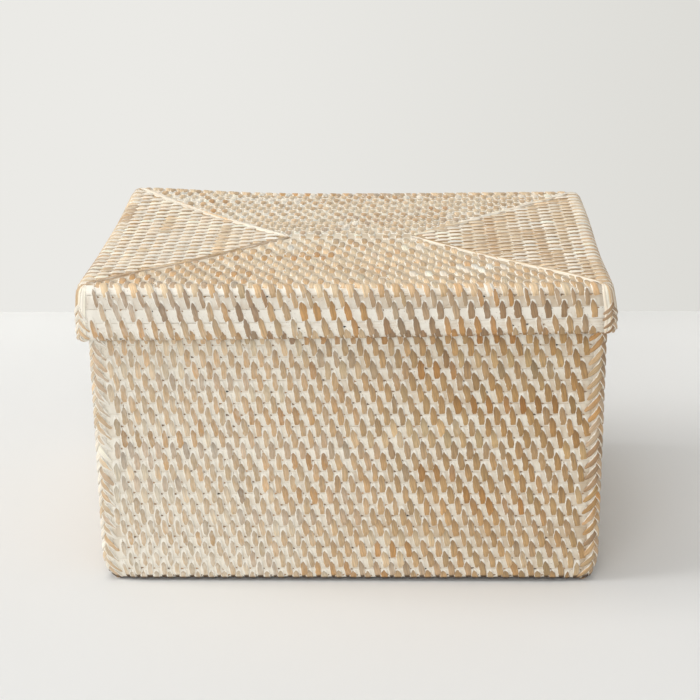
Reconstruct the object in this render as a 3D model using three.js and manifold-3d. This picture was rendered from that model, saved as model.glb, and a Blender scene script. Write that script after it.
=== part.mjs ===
// A woven rattan box with a lift-off lid, in millimetres, +Z up, with its front towards -Y.
// The origin lies on the ground under the middle of the box.

import * as THREE from 'three';
import { mergeVertices } from 'three/addons/utils/BufferGeometryUtils.js';
import Module from 'manifold-3d';

// Lid, outside
const LID_LENGTH = 305;
const LID_DEPTH = 229;
const LID_TOP = 6;
const SKIRT_WALL = 4.8;
const SKIRT_HEIGHT = 28.4;
const EDGE_RADIUS = 4;

// Body
const BODY_HEIGHT = 172.8;
const WALL = 4.8;
const FLOOR = 5.6;
const FLOOR_LIFT = 1;

// Vertical corners: a pole bound with a braid
const CORNER = 9;
const CORNER_RADIUS = 4;
const POST_DIAMETER = 5;

// Rods and seams: a course is one rod, finer in the walls than in the lid and the floor, and each
// panel holds a whole number of them
const WALL_COURSE = 6.9;
const COURSE = 7.2;
const GROOVE_WIDTH = 2.2;
const GROOVE_DEPTH = 0.9;
const RAIL_ROUNDING = 1.5;
const INNER_ROUNDING = 1;
const STRAND_WIDTH = 2.6;
const MITRE_TIP = 1.5;

// Clearances
const LID_CLEARANCE = 0.9;
const JOINT_GAP = 0.3;

const ARC_STEPS = 2;

// What follows from these sizes
const BODY_LENGTH = LID_LENGTH - 2 * (SKIRT_WALL + LID_CLEARANCE);
const BODY_DEPTH = LID_DEPTH - 2 * (SKIRT_WALL + LID_CLEARANCE);
const LID_UNDERSIDE = BODY_HEIGHT + JOINT_GAP;
const HEIGHT = LID_UNDERSIDE + LID_TOP;
const SKIRT_FOOT = HEIGHT - SKIRT_HEIGHT;
const TOP_LENGTH = LID_LENGTH - 2 * (SKIRT_WALL + JOINT_GAP);
const TOP_DEPTH = LID_DEPTH - 2 * (SKIRT_WALL + JOINT_GAP);
const FLOOR_LENGTH = BODY_LENGTH - 2 * (WALL + JOINT_GAP);
const FLOOR_DEPTH = BODY_DEPTH - 2 * (WALL + JOINT_GAP);

// The body's corner columns stand further in than its walls, and the floor keeps clear of them
const FLOOR_NOTCH = Math.max(CORNER - WALL, 0);

const QUARTER = Math.PI / 2;

const PAINTED_ROD = { color: 0xe2dacb, roughness: 0.8, metalness: 0 };
const PEEL = { color: 0xc9ad83, roughness: 0.6, metalness: 0 };
const POLE = { color: 0xb8976a, roughness: 0.7, metalness: 0 };

const wasm = await Module();
wasm.setup();

const box = new THREE.Group();

function addPiece(name, geometry, finish, turn = 0) {
  const mesh = new THREE.Mesh(geometry, new THREE.MeshStandardMaterial(finish));
  mesh.name = name;
  mesh.rotation.z = turn;
  box.add(mesh);
  return mesh;
}

// The four sides of a rectangle: a piece is made for the front and turned to its side
function sides(length, depth) {
  return [
    { name: 'front', turn: 0, length, reach: depth / 2 },
    { name: 'right', turn: QUARTER, length: depth, reach: length / 2 },
    { name: 'back', turn: 2 * QUARTER, length, reach: depth / 2 },
    { name: 'left', turn: 3 * QUARTER, length: depth, reach: length / 2 },
  ];
}

// The four corners of a rectangle: a piece is made for the front left and turned to its corner
function corners(length, depth) {
  return [
    { name: 'front_left', turn: 0, x: -length / 2, y: -depth / 2 },
    { name: 'front_right', turn: QUARTER, x: length / 2, y: -depth / 2 },
    { name: 'back_right', turn: 2 * QUARTER, x: length / 2, y: depth / 2 },
    { name: 'back_left', turn: 3 * QUARTER, x: -length / 2, y: depth / 2 },
  ];
}

// The whole number of courses that fills a span, and the height of each
function fitCourses(span, course, least) {
  const count = Math.max(Math.round(span / course), least);
  return { count, pitch: span / count };
}

// A rectangle from the origin, with a radius for each corner, counter-clockwise from the origin
function roundedRectangle(width, height, radii) {
  const shape = new THREE.Shape();
  const places = [[0, 0, 1, 1], [width, 0, -1, 1], [width, height, -1, -1], [0, height, 1, -1]];
  places.forEach(([x, y, inX, inY], index) => {
    const radius = radii[index];
    const start = (index + 2) * QUARTER;
    if (radius > 0) {
      shape.absarc(x + inX * radius, y + inY * radius, radius, start, start + QUARTER, false);
    } else if (index === 0) {
      shape.moveTo(x, y);
    } else {
      shape.lineTo(x, y);
    }
  });
  return shape;
}

// Section through rods laid side by side, with a groove on both faces between each two rods
function courseSection(count, pitch, thickness) {
  const face = [];
  for (let course = 0; course < count; course += 1) {
    const low = course * pitch;
    const high = low + pitch;
    const isFirst = course === 0;
    const isLast = course === count - 1;
    face.push([0, isFirst ? low : low + GROOVE_WIDTH / 2]);
    face.push([0, isLast ? high : high - GROOVE_WIDTH / 2]);
    if (!isLast) face.push([GROOVE_DEPTH, high]);
  }
  const otherFace = face.map(([x, y]) => [thickness - x, y]).reverse();
  return new THREE.Shape([...face, ...otherFace].map(([x, y]) => new THREE.Vector2(x, y)));
}

function extrude(section, depth) {
  return new THREE.ExtrudeGeometry(section, { depth, bevelEnabled: false, curveSegments: ARC_STEPS });
}

// A bar along X: the section's x runs back along Y and its y runs up
function bar(section, length) {
  const along = new THREE.Vector3(1, 0, 0);
  const back = new THREE.Vector3(0, 1, 0);
  const up = new THREE.Vector3(0, 0, 1);
  const turn = new THREE.Matrix4().makeBasis(back, up, along);
  return extrude(section, length).translate(0, 0, -length / 2).applyMatrix4(turn);
}

// The front section of a flat panel laid in concentric rectangles. Its rods run along X and end on
// the mitres, where half of seam is left free on this side; near a corner it stops short by notch.
function mitredSection(length, reach, thickness, seam, notch) {
  const setBack = Math.SQRT2 * seam / 2;
  const span = Math.min(reach - JOINT_GAP / 2, length / 2 - setBack - MITRE_TIP);
  const { count, pitch } = fitCourses(span, COURSE, 1);
  const down = new THREE.Vector3(0, 0, -1);
  const back = new THREE.Vector3(0, 1, 0);
  const along = new THREE.Vector3(1, 0, 0);
  const turn = new THREE.Matrix4().makeBasis(down, back, along);
  const geometry = extrude(courseSection(count, pitch, thickness), 1);
  geometry.applyMatrix4(turn);
  const position = geometry.attributes.position;
  for (let index = 0; index < position.count; index += 1) {
    const inward = position.getY(index);
    const halfLength = length / 2 - Math.max(inward, notch) - setBack;
    position.setX(index, position.getX(index) > 0 ? halfLength : -halfLength);
  }
  return geometry.translate(0, -reach, 0);
}

function toSolid(geometry) {
  const bare = geometry.clone();
  bare.deleteAttribute('normal');
  bare.deleteAttribute('uv');
  const merged = mergeVertices(bare);
  return new wasm.Manifold(new wasm.Mesh({
    numProp: 3,
    vertProperties: new Float32Array(merged.attributes.position.array),
    triVerts: new Uint32Array(merged.index.array),
  }));
}

function toGeometry(solid) {
  const mesh = solid.getMesh();
  const geometry = new THREE.BufferGeometry();
  geometry.setAttribute('position', new THREE.BufferAttribute(new Float32Array(mesh.vertProperties), 3));
  geometry.setIndex(new THREE.BufferAttribute(new Uint32Array(mesh.triVerts), 1));
  geometry.computeVertexNormals();
  return geometry;
}

// Floor: four mitred sections between the walls, just clear of the ground
for (const side of sides(FLOOR_LENGTH, FLOOR_DEPTH)) {
  const section = mitredSection(side.length, side.reach, FLOOR, JOINT_GAP, FLOOR_NOTCH);
  section.translate(0, 0, FLOOR_LIFT + FLOOR);
  addPiece(`floor_${side.name}`, section, PAINTED_ROD, side.turn);
}

// Walls: a base rail on the ground, the woven courses, and a rim rail on top
const RAILS = 2;
const wallStack = fitCourses(BODY_HEIGHT, WALL_COURSE, RAILS + 1);
for (const side of sides(BODY_LENGTH, BODY_DEPTH)) {
  const length = side.length - 2 * (CORNER + JOINT_GAP);
  const inset = -side.reach;

  const baseSection = roundedRectangle(WALL, wallStack.pitch, [RAIL_ROUNDING, RAIL_ROUNDING, 0, 0]);
  addPiece(`base_rail_${side.name}`, bar(baseSection, length).translate(0, inset, 0), PEEL, side.turn);

  const courses = wallStack.count - RAILS;
  const wallHeight = courses * wallStack.pitch - 2 * JOINT_GAP;
  const wall = bar(courseSection(courses, wallHeight / courses, WALL), length);
  wall.translate(0, inset, wallStack.pitch + JOINT_GAP);
  addPiece(`wall_${side.name}`, wall, PAINTED_ROD, side.turn);

  const rimSection = roundedRectangle(WALL, wallStack.pitch, [0, 0, RAIL_ROUNDING, RAIL_ROUNDING]);
  const rim = bar(rimSection, length).translate(0, inset, BODY_HEIGHT - wallStack.pitch);
  addPiece(`rim_rail_${side.name}`, rim, PEEL, side.turn);
}

// Corners of the body: a rattan pole with a herringbone braid bound round it
for (const corner of corners(BODY_LENGTH, BODY_DEPTH)) {
  const bore = POST_DIAMETER + 2 * JOINT_GAP;
  const boreRadii = Array(4).fill(bore / 2);
  const braid = roundedRectangle(
    CORNER,
    CORNER,
    [CORNER_RADIUS, INNER_ROUNDING, INNER_ROUNDING, INNER_ROUNDING],
  );
  const boreOffset = (CORNER - bore) / 2;
  const borePoints = roundedRectangle(bore, bore, boreRadii).getPoints(ARC_STEPS);
  const boreEdge = borePoints.map((point) => point.addScalar(boreOffset));
  braid.holes.push(new THREE.Path(boreEdge));
  const braidMesh = addPiece(`corner_braid_${corner.name}`, extrude(braid, BODY_HEIGHT), PEEL, corner.turn);
  braidMesh.position.set(corner.x, corner.y, 0);

  const postRadii = Array(4).fill(POST_DIAMETER / 2);
  const post = extrude(roundedRectangle(POST_DIAMETER, POST_DIAMETER, postRadii), BODY_HEIGHT);
  const postOffset = (CORNER - POST_DIAMETER) / 2;
  post.translate(postOffset, postOffset, 0);
  const postMesh = addPiece(`corner_post_${corner.name}`, post, POLE, corner.turn);
  postMesh.position.set(corner.x, corner.y, 0);
}

// Lid top: four mitred sections, with a strand of peel laid along each mitre
const SEAM = STRAND_WIDTH + 2 * JOINT_GAP;
for (const side of sides(TOP_LENGTH, TOP_DEPTH)) {
  const section = mitredSection(side.length, side.reach, LID_TOP, SEAM, 0);
  section.translate(0, 0, HEIGHT);
  addPiece(`lid_top_${side.name}`, section, PAINTED_ROD, side.turn);
}
for (const corner of corners(TOP_LENGTH, TOP_DEPTH)) {
  const outerEnd = STRAND_WIDTH / 2;
  const ridgeEnd = STRAND_WIDTH / 2 + JOINT_GAP;
  const diagonal = Math.min(TOP_LENGTH, TOP_DEPTH) / Math.SQRT2;
  const strandRadius = STRAND_WIDTH / 2;
  const section = roundedRectangle(STRAND_WIDTH, LID_TOP, [0, 0, strandRadius, strandRadius]);
  const strand = bar(section, diagonal - outerEnd - ridgeEnd);
  strand.translate((diagonal + outerEnd - ridgeEnd) / 2, -STRAND_WIDTH / 2, LID_UNDERSIDE);
  const strandMesh = addPiece(`lid_mitre_${corner.name}`, strand, PEEL, corner.turn + QUARTER / 2);
  strandMesh.position.set(corner.x, corner.y, 0);
}

// Skirt: the rounded edge rail, the woven courses, and a rim rail along the foot
const skirtStack = fitCourses(SKIRT_HEIGHT, COURSE, RAILS + 1);
for (const side of sides(LID_LENGTH, LID_DEPTH)) {
  const length = side.length - 2 * (CORNER + JOINT_GAP);
  const inset = -side.reach;

  const edgeSection = roundedRectangle(SKIRT_WALL, skirtStack.pitch, [0, 0, 0, EDGE_RADIUS]);
  const edge = bar(edgeSection, length).translate(0, inset, HEIGHT - skirtStack.pitch);
  addPiece(`lid_edge_rail_${side.name}`, edge, PEEL, side.turn);

  const courses = skirtStack.count - RAILS;
  const skirtHeight = courses * skirtStack.pitch - 2 * JOINT_GAP;
  const skirt = bar(courseSection(courses, skirtHeight / courses, SKIRT_WALL), length);
  skirt.translate(0, inset, SKIRT_FOOT + skirtStack.pitch + JOINT_GAP);
  addPiece(`lid_skirt_${side.name}`, skirt, PAINTED_ROD, side.turn);

  const rimRadii = [RAIL_ROUNDING, RAIL_ROUNDING, 0, 0];
  const rimSection = roundedRectangle(SKIRT_WALL, skirtStack.pitch, rimRadii);
  const rim = bar(rimSection, length).translate(0, inset, SKIRT_FOOT);
  addPiece(`lid_rim_rail_${side.name}`, rim, PEEL, side.turn);
}

// Corners of the lid: an angle of braid over the ends of the skirt, rounded off like the edge rails
const anglePoints = [
  [CORNER_RADIUS, 0],
  [CORNER, 0],
  [CORNER, SKIRT_WALL],
  [SKIRT_WALL, SKIRT_WALL],
  [SKIRT_WALL, CORNER],
  [0, CORNER],
  [0, CORNER_RADIUS],
];
const angle = new THREE.Shape(anglePoints.map(([x, y]) => new THREE.Vector2(x, y)));
angle.absarc(CORNER_RADIUS, CORNER_RADIUS, CORNER_RADIUS, 2 * QUARTER, 3 * QUARTER, false);
const roundTop = bar(roundedRectangle(CORNER, SKIRT_HEIGHT, [0, 0, 0, EDGE_RADIUS]), 2 * CORNER);
const alongX = toSolid(roundTop);
const alongY = toSolid(roundTop.clone().rotateZ(-QUARTER));
const lidCorner = toGeometry(toSolid(extrude(angle, SKIRT_HEIGHT)).intersect(alongX).intersect(alongY));
for (const corner of corners(LID_LENGTH, LID_DEPTH)) {
  const mesh = addPiece(`lid_corner_braid_${corner.name}`, lidCorner, PEEL, corner.turn);
  mesh.position.set(corner.x, corner.y, SKIRT_FOOT);
}

export default box;
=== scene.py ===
"""A lidded box woven from painted rods and rattan peel.

The rods run round the box in courses, and each stitch of peel binds two courses together.
Lengths are millimetres until a mesh is made, Z is up and the front faces -Y.
"""

import math

import bpy
import numpy as np
from mathutils import Matrix, Vector


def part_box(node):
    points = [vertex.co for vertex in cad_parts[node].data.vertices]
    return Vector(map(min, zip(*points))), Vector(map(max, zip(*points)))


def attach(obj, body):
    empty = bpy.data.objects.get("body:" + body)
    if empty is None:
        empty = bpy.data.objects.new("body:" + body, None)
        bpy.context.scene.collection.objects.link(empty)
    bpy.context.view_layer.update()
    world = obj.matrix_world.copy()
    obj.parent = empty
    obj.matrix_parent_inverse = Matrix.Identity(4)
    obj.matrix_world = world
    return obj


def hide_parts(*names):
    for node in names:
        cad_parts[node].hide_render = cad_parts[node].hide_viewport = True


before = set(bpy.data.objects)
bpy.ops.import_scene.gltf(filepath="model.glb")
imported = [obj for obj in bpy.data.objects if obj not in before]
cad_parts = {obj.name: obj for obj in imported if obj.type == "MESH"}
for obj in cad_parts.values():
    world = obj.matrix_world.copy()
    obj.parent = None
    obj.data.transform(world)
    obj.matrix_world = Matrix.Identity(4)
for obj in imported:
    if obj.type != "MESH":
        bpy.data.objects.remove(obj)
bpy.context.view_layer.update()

MM = 0.001
SEED = 11
SIDES = ("front", "right", "back", "left")
# Each corner lies at the right-hand end of the side of the same place in the list, seen from outside.
CORNERS = ("front_right", "back_right", "back_left", "front_left")


def node_box(node):
    """Lowest and highest corner of a node, in millimetres."""
    low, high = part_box(node)
    return np.array(low) / MM, np.array(high) / MM


# Sizes of the frame
LID_LOW, LID_HIGH = node_box("lid_corner_braid_front_right")
BODY_LOW, BODY_HIGH = node_box("corner_braid_front_right")
WALL_LOW, WALL_HIGH = node_box("wall_front")
FLOOR_LOW, FLOOR_HIGH = node_box("floor_front")
LID_HALF = (LID_HIGH[0], -LID_LOW[1])
BODY_HALF = (BODY_HIGH[0], -BODY_LOW[1])
WALL = WALL_HIGH[1] - WALL_LOW[1]
CORNER = BODY_HIGH[0] - BODY_LOW[0]
BODY_TOP = BODY_HIGH[2]
HEIGHT = LID_HIGH[2]
SKIRT_FOOT = LID_LOW[2]
LID_UNDERSIDE = node_box("lid_top_front")[0][2]
FLOOR_TOP = FLOOR_HIGH[2]
FLOOR_BOTTOM = FLOOR_LOW[2]

# Sizes of the weave
COURSE = 6.9
PEEL = 0.65
STITCH_HALF_WIDTH = 2.05
STITCH_PITCH = 8.7
TUCK_SHARE = 0.75
SKIRT_HALF_WIDTH = 2.0
EDGE_HALF_WIDTH = 2.2
UNDER_EDGE_HALF_WIDTH = 1.5
# The pitch of the stitches on the lid's long and its short sides, and half widths of raised and sunk ones
LID_PITCHES = (8.6, 7.9)
RIB_HALF_WIDTHS = (2.0, 2.6)
SUNK_HALF_WIDTHS = (1.9, 1.2)
ROW_SHIFT = 0.45
# How far stitches lean, as a share of their length
WALL_SLANT = 0.16
BASE_SLANT = 0.15
INSIDE_SLANT = -0.12
EDGE_SLANT = 0.25
UNDER_EDGE_SLANT = 0.27
SKIRT_SLANT = 0.22
PLAIN_SLANT = 0.1
# How much stitches in the same row differ
PLACE_SPREAD = 0.28
LEAN_SPREAD = 0.04
END_SPREAD = 0.22
LOWER_END_SHARE = 0.6
WIDTH_SPREAD = 0.07
SHADE_SPREAD = 0.07
WARMTH_SPREAD = 0.03
BARE_SPREAD = 0.1
# How many stitches in a row share a colour, on the whole and on the lid
COLOUR_RUN = 4.0
LID_RUN = 2.5
# How far rows of stitches keep from corner columns and from mitres, and rods from the corners' bends
WALL_END_GAP = 1.5
SKIRT_END_GAP = 1.0
MITRE_CLEAR = 5.0
TOP_CLEAR = 3.0
ROD_END_GAP = 0.2
# Radii of edges and corners, and sizes and counts of courses
EDGE_RADIUS = 5.0
CORNER_RADIUS = 5.5
LID_CORNER_RADIUS = 6.5
RIM_RADIUS = WALL / 2
BASE_RADIUS = 1.0
BASE_LIFT = 0.6
WALL_COURSES = round(BODY_TOP / COURSE)
WALL_COURSE = BODY_TOP / WALL_COURSES
EDGE_COURSE = 4.8
SKIRT_COURSE = 7.0
RIM_COURSE = HEIGHT - SKIRT_FOOT - EDGE_COURSE - 2 * SKIRT_COURSE
TOP_COURSES = 15
FLOOR_COURSES = 14
RIGHT_ANGLE = math.pi / 2

random = np.random.default_rng(SEED)


def linear(red, green, blue):
    """A colour picked on a screen, as the light it stands for."""
    shares = np.array([red, green, blue]) / 255
    return tuple(np.where(shares <= 0.04045, shares / 12.92, ((shares + 0.055) / 1.055) ** 2.4))


PAINT = linear(243, 237, 224)
# How much duller and darker the paint on the rods of the walls is, as painted shade where the rods lie
# between the stitches
WALL_ROD_SHADE = (0.97, 0.96, 0.94)
# Painted shade on down-facing surfaces by the floor: partly bare wood, and darkened further as shade so the
# gap under the bottom edge reads dark
UNDERSIDE_SHADE = linear(104, 82, 60)
# Painted shade on the flanks of the lid's raised ribs, where each rib shades the next
FLANK_SHADE_TONE = linear(196, 168, 134)
BARE_ROD = linear(188, 160, 122)
SPECK = linear(130, 105, 78)
POLE_TONES = (linear(176, 138, 92), linear(206, 172, 124))
# Tan, brown, grey, straw, cream, umber and dark peel, and the shares of these in each part
PEEL_TONES = np.array(
    [
        linear(203, 169, 126),
        linear(196, 150, 95),
        linear(197, 169, 137),
        linear(221, 195, 158),
        linear(243, 231, 211),
        linear(168, 136, 102),
        linear(135, 102, 72),
    ]
)
DARK = len(PEEL_TONES) - 1
DARK_SHARE = 0.001
WALL_MIX = (0.6, 0.13, 0.12, 0.12, 0.0, 0.03, 0.0)
BASE_MIX = (0.62, 0.1, 0.02, 0.24, 0.0, 0.02, 0.0)
SKIRT_MIX = (0.36, 0.26, 0.06, 0.04, 0.0, 0.28, 0.0)
# The row under the lid's edge is mostly grey and umber: partly tone, partly painted shade where the edge
# stitches shade it
UNDER_EDGE_MIX = (0.1, 0.12, 0.36, 0.0, 0.0, 0.42, 0.0)
EDGE_MIX = (0.5, 0.04, 0.12, 0.34, 0.0, 0.0, 0.0)
CORNER_MIX = (0.46, 0.02, 0.2, 0.26, 0.06, 0.0, 0.0)
CREAM_MIX = (0.04, 0.0, 0.0, 0.26, 0.7, 0.0, 0.0)
LID_CORNER_MIX = (0.16, 0.0, 0.06, 0.3, 0.48, 0.0, 0.0)
DARK_CORNER_MIX = (0.24, 0.2, 0.22, 0.02, 0.0, 0.32, 0.0)
# On the lid's short sides the raised ribs are mostly cream and the sunk strips tan: partly their own tones,
# partly painted light on the raised ribs and painted shade on the sunk strips
RIB_MIXES = {
    "front": (0.42, 0.03, 0.06, 0.46, 0.03, 0.0, 0.0),
    "right": (0.08, 0.0, 0.02, 0.36, 0.54, 0.0, 0.0),
    "back": (0.36, 0.03, 0.08, 0.47, 0.06, 0.0, 0.0),
    "left": (0.02, 0.0, 0.01, 0.1, 0.87, 0.0, 0.0),
}
SUNK_MIXES = {
    "front": (0.22, 0.06, 0.12, 0.34, 0.26, 0.0, 0.0),
    "right": (0.6, 0.2, 0.1, 0.1, 0.0, 0.0, 0.0),
    "back": (0.1, 0.0, 0.0, 0.4, 0.5, 0.0, 0.0),
    "left": (0.5, 0.05, 0.1, 0.35, 0.0, 0.0, 0.0),
}


class Profile:
    """A line through a section, as inward distance and height, measured along its length.

    Each step is a length and a radius: a radius of 0 is straight, and others turn anticlockwise.
    """

    def __init__(self, start, heading, *steps):
        self.pieces = []
        point = np.array(start, float)
        self.length = 0.0
        for length, radius in steps:
            self.pieces.append((self.length, radius, point, heading))
            point, _ = self.walk(radius, point, heading, np.array(length))
            heading += length / radius if radius else 0
            self.length += length

    @staticmethod
    def walk(radius, point, heading, distance):
        """Point and outward normal a distance along one step."""
        angle = heading + (distance / radius if radius else 0 * distance)
        normal = np.stack([np.sin(angle), -np.cos(angle)], -1)
        if radius:
            centre = point - radius * np.array([math.sin(heading), -math.cos(heading)])
            return centre + radius * normal, normal
        forward = np.array([math.cos(heading), math.sin(heading)])
        return point + distance[..., None] * forward, normal

    def at(self, distance):
        """Points and outward normals at these distances."""
        points = np.zeros(distance.shape + (2,))
        normals = np.zeros(distance.shape + (2,))
        for begin, radius, point, heading in self.pieces:
            here = distance >= begin if begin else np.ones(distance.shape, bool)
            points[here], normals[here] = self.walk(radius, point, heading, distance[here] - begin)
        return points, normals

    def raised(self, distance, out):
        """Inward distance and height of points that stand this far out of the line."""
        points, normals = self.at(distance)
        return points[..., 0] + out * normals[..., 0], points[..., 1] + out * normals[..., 1]


UPWARD, OUTWARD, INWARD = RIGHT_ANGLE, math.pi, 0.0
WALL_INSIDE = BODY_TOP - RIM_RADIUS - FLOOR_TOP
WALL_PROFILE = Profile(
    (WALL, FLOOR_TOP),
    UPWARD,
    (WALL_INSIDE, 0),
    (RIM_RADIUS * math.pi, RIM_RADIUS),
    (BODY_TOP - RIM_RADIUS - BASE_RADIUS - BASE_LIFT, 0),
    (BASE_RADIUS * RIGHT_ANGLE, BASE_RADIUS),
    (WALL, 0),
)
LID_FLAT = LID_HALF[1] - EDGE_RADIUS
LID_PROFILE = Profile(
    (LID_HALF[1], HEIGHT),
    OUTWARD,
    (LID_FLAT, 0),
    (EDGE_RADIUS * RIGHT_ANGLE, EDGE_RADIUS),
    (HEIGHT - SKIRT_FOOT - EDGE_RADIUS - RIM_RADIUS, 0),
    (RIM_RADIUS * math.pi, RIM_RADIUS),
    (LID_UNDERSIDE - SKIRT_FOOT - RIM_RADIUS, 0),
)
UNDER_LID = Profile((WALL, LID_UNDERSIDE), INWARD, (LID_HALF[1] - WALL, 0))
FLOOR_ABOVE = Profile((BODY_HALF[1], FLOOR_TOP), OUTWARD, (BODY_HALF[1] - WALL, 0))
FLOOR_BELOW = Profile((WALL, FLOOR_BOTTOM), INWARD, (BODY_HALF[1] - WALL, 0))


def wall_outside(height):
    """Distance along the wall's profile of a height on the outer face."""
    return WALL_INSIDE + RIM_RADIUS * math.pi + BODY_TOP - RIM_RADIUS - height


def skirt_outside(height):
    """Distance along the lid's profile of a height on the outer face."""
    return LID_FLAT + EDGE_RADIUS * RIGHT_ANGLE + HEIGHT - EDGE_RADIUS - height


def side_sizes(half, side):
    """Half the length of a side, and how far its outer face is from the middle."""
    return (half[0], half[1]) if side % 2 == 0 else (half[1], half[0])


def turned(points, side):
    """Points of the front turned to another side."""
    angle = side * RIGHT_ANGLE
    x, y, z = points[..., 0], points[..., 1], points[..., 2]
    cos, sin = round(math.cos(angle)), round(math.sin(angle))
    return np.stack([cos * x - sin * y, sin * x + cos * y, z], -1)


def joined(*parts):
    """Arrays brought to one shape and joined as the parts of vectors."""
    return np.stack(np.broadcast_arrays(*parts), -1)


def on_side(half, side, profile):
    """Places points on a side: along it, along the profile, and out of its surface."""
    reach = side_sizes(half, side)[1]

    def place(along, distance, out):
        inward, height = profile.raised(distance, out)
        return turned(np.stack([along, inward - reach, height], -1), side)

    return place


def on_corner(half, side, profile, radius):
    """Places points round the corner at a side's right end. Its bend of this radius begins at 0."""
    length, reach = side_sizes(half, side)

    def place(along, distance, out):
        inward, height = profile.raised(distance, out)
        centre = np.maximum(radius, inward)
        bend = centre - inward
        angle = np.clip(along / radius, 0, RIGHT_ANGLE)
        before = np.minimum(along, 0)
        after = np.maximum(along - radius * RIGHT_ANGLE, 0)
        x = length - centre + before + bend * np.sin(angle)
        y = centre - reach - bend * np.cos(angle) + after
        return turned(np.stack([x, y, height], -1), side)

    return place


# How the weave has settled
STRETCH = 0.0164
SAG = 0.9
SKIRT_TAPER = 0.08
CURL = 4.0
LID_TRIM = 1.2
# How far the lid's left and right edges are drawn in, and how far inward and down that reaches
EDGE_PULLS = (1.2, 2.4)
PULL_REACH = 30.0
PULL_DEPTH = 18.0
# The share of the lid's half depth behind which its right edge isn't drawn in
PULL_END = 0.6
# How far the lid's front edge stands up, and where that begins and how far it takes, as such shares
FRONT_LIFT = 1.8
FRONT_RISE = (0.3, 0.6)
BODY_TRIM = 0.6
FOOT_PULL = 5.0
FOOT_HEIGHT = 18.0
FOOT_REACH = 28.0
# How far the bottom edge stands off the floor between its corners, at the left and at the right
ARCHES = (1.0, 1.9)
ARCH_HEIGHT = 40.0


def ease(value):
    """A smooth step from 0 to 1."""
    share = np.clip(value, 0, 1)
    return share * share * (3 - 2 * share)


def rise(value, start, span):
    """A smooth step that begins at a start and takes a span."""
    return ease((value - start) / span)


def settle(points, body):
    """The lid's uneven skirt and curled corner, and the box's drawn-in feet, arches and sagging sides."""
    x, y, z = points[..., 0], points[..., 1], points[..., 2]
    settled = points.copy()
    if body == "lid":
        settled[..., 2] = HEIGHT - (HEIGHT - z) * (1 - SKIRT_TAPER * x / LID_HALF[0])
        settled[..., 2] += CURL * ease(-x / LID_HALF[0]) ** 2 * ease(y / LID_HALF[1]) ** 2
        near_edge = ease((np.abs(x) - LID_HALF[0] + PULL_REACH) / PULL_REACH)
        near_edge = near_edge * ease((z - HEIGHT + PULL_DEPTH) / PULL_DEPTH)
        pull = np.where(x < 0, -EDGE_PULLS[0], EDGE_PULLS[1] * ease(PULL_END - y / LID_HALF[1]))
        settled[..., 0] -= LID_TRIM * ease(x / LID_HALF[0]) + pull * near_edge
        above_foot = np.clip((z - SKIRT_FOOT) / (HEIGHT - SKIRT_FOOT), 0, 1)
        settled[..., 2] += FRONT_LIFT * rise(-y / LID_HALF[1], *FRONT_RISE) * above_foot
    else:
        low = np.clip(1 - z / FOOT_HEIGHT, 0, 1) ** 2
        near_end = ease((np.abs(x) - BODY_HALF[0] + FOOT_REACH) / FOOT_REACH)
        near_face = ease((np.abs(y) - BODY_HALF[1] + FOOT_REACH) / FOOT_REACH)
        settled[..., 0] -= BODY_TRIM * x / BODY_HALF[0] + np.sign(x) * FOOT_PULL * low * near_end * near_face
        settled[..., 1] -= np.sign(y) * FOOT_PULL / 2 * low * near_end * near_face
        arch = np.interp(x, (-BODY_HALF[0], BODY_HALF[0]), ARCHES) * (1 - near_end * near_face)
        settled[..., 2] += arch * np.clip(1 - z / ARCH_HEIGHT, 0, 1)
    middle = np.cos(RIGHT_ANGLE * np.clip(x / LID_HALF[0], -1, 1))
    settled[..., 2] += STRETCH * z - SAG * middle * np.clip(z / HEIGHT, 0, 1) ** 2
    return settled


class Weave:
    """Gathers tubes of peel and rod, and becomes one mesh."""

    def __init__(self, body):
        self.body = body
        self.batches = []

    def add(self, points, strand, tints, material):
        """Tubes of equal make: points by tube, station and section; one tint for each tube."""
        if len(points):
            self.batches.append((settle(points, self.body), strand, tints, material))

    def finish(self, node, slot, kind="weave"):
        """Makes the object, which rides on its body in place of a node and is named after it."""
        name = f"{node}_{kind}"
        vertices, strands, tints, loops, totals, slots, maps = [], [], [], [], [], [], []
        shares = np.array([tube_area(batch[0]) for batch in self.batches])
        shares = shares / shares.sum()
        first, low = 0, 0.0
        for (points, strand, tint, material), share in zip(self.batches, shares):
            count, stations, section, _ = points.shape
            corners, cells = tube_faces(points, low, share)
            loops += [first + part for part in corners]
            totals += [part.shape[-1] * np.ones(part.size // part.shape[-1], int) for part in corners]
            slots += [np.full(part.size // part.shape[-1], material) for part in corners]
            maps += cells
            vertices.append(points.reshape(-1, 3) * MM)
            strands.append(strand.reshape(-1, 3))
            tints.append(np.repeat(tint, stations * section, axis=0))
            first += count * stations * section
            low += share
        mesh = bpy.data.meshes.new(name)
        fill_mesh(mesh, np.concatenate(vertices), loops, np.concatenate(totals), np.concatenate(slots))
        write_values(mesh.attributes.new("Strand", "FLOAT_VECTOR", "POINT"), "vector", strands)
        write_values(mesh.attributes.new("Tint", "FLOAT_COLOR", "POINT"), "color", tints)
        write_values(mesh.uv_layers.new(name="OFBake"), "uv", [part.reshape(-1, 2) for part in maps])
        for material in (ROD_MATERIAL, PEEL_MATERIAL, POLE_MATERIAL):
            mesh.materials.append(material)
        piece = bpy.data.objects.new(name, mesh)
        bpy.context.collection.objects.link(piece)
        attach(piece, self.body)
        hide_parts(node)


def write_values(layer, kind, parts):
    """Writes arrays of rows to a mesh layer."""
    layer.data.foreach_set(kind, np.concatenate(parts).astype(np.float32).ravel())


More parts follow.
